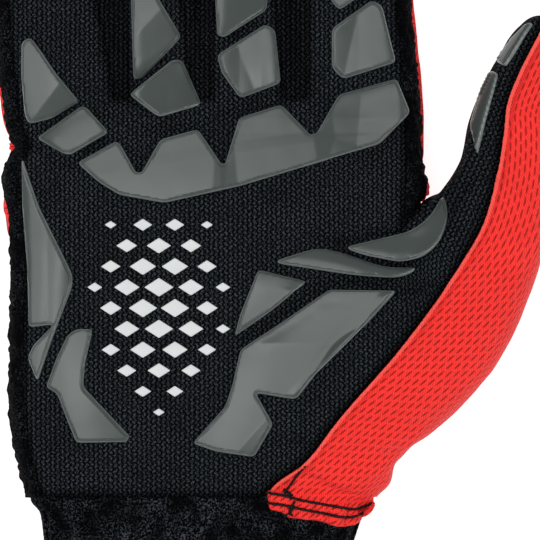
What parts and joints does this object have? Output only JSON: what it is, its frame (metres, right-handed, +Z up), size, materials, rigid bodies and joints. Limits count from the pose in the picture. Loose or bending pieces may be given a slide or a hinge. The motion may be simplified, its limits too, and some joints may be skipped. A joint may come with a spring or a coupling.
{
  "type": "motorsport racing glove",
  "caption": "Right-hand racing glove lying palm up: black knit palm and red mesh back joined by side strips, grey silicone grip pads, a red thumb panel and a gathered cuff open at the wrist.",
  "frame": {"origin": "on the table, under the middle of the palm, on the flat outer face of the back panel", "axes": "+Z up, out of the palm; +Y towards the fingertips; +X towards the thumb"},
  "size_m": [0.1528, 0.2524, 0.0278],
  "materials": {
    "black_knit": "matte polyester knit with small open cells",
    "red_mesh": "red warp-knit mesh with short slits",
    "side_cloth": "brushed stretch cloth with overlocked edges",
    "cuff_knit": "gathered terry knit",
    "grip_silicone": "semi-gloss moulded silicone",
    "print_silicone": "thin white printed silicone"
  },
  "bodies": {
    "root": {"palm_panel": "black_knit", "back_panel": "red_mesh", "thumb_panel": "red_mesh", "little_side_strip": "side_cloth", "little_ring_fourchette": "side_cloth", "ring_middle_fourchette": "side_cloth", "middle_index_fourchette": "side_cloth", "index_side_strip": "side_cloth", "wrist_cuff": "cuff_knit", "wrist_hem": "red_mesh", "thumb_welt": "red_mesh", "knuckle_pad": "grip_silicone", "heel_side_pad": "grip_silicone", "heel_outer_pad": "grip_silicone", "thenar_inner_pad": "grip_silicone", "thenar_main_pad": "grip_silicone", "web_lower_pad": "grip_silicone", "web_upper_pad": "grip_silicone", "little_base_pad": "grip_silicone", "little_lower_pad": "grip_silicone", "ring_base_pad": "grip_silicone", "ring_lower_pad": "grip_silicone", "middle_base_pad": "grip_silicone", "middle_lower_pad": "grip_silicone", "index_base_pad": "grip_silicone", "index_lower_pad": "grip_silicone", "thumb_base_pad": "grip_silicone", "thumb_tip_pad": "grip_silicone", "little_upper_pad": "grip_silicone", "little_tip_pad": "grip_silicone", "ring_upper_pad": "grip_silicone", "ring_tip_pad": "grip_silicone", "middle_upper_pad": "grip_silicone", "middle_tip_pad": "grip_silicone", "index_upper_pad": "grip_silicone", "index_tip_pad": "grip_silicone"}
  },
  "joints": []
}
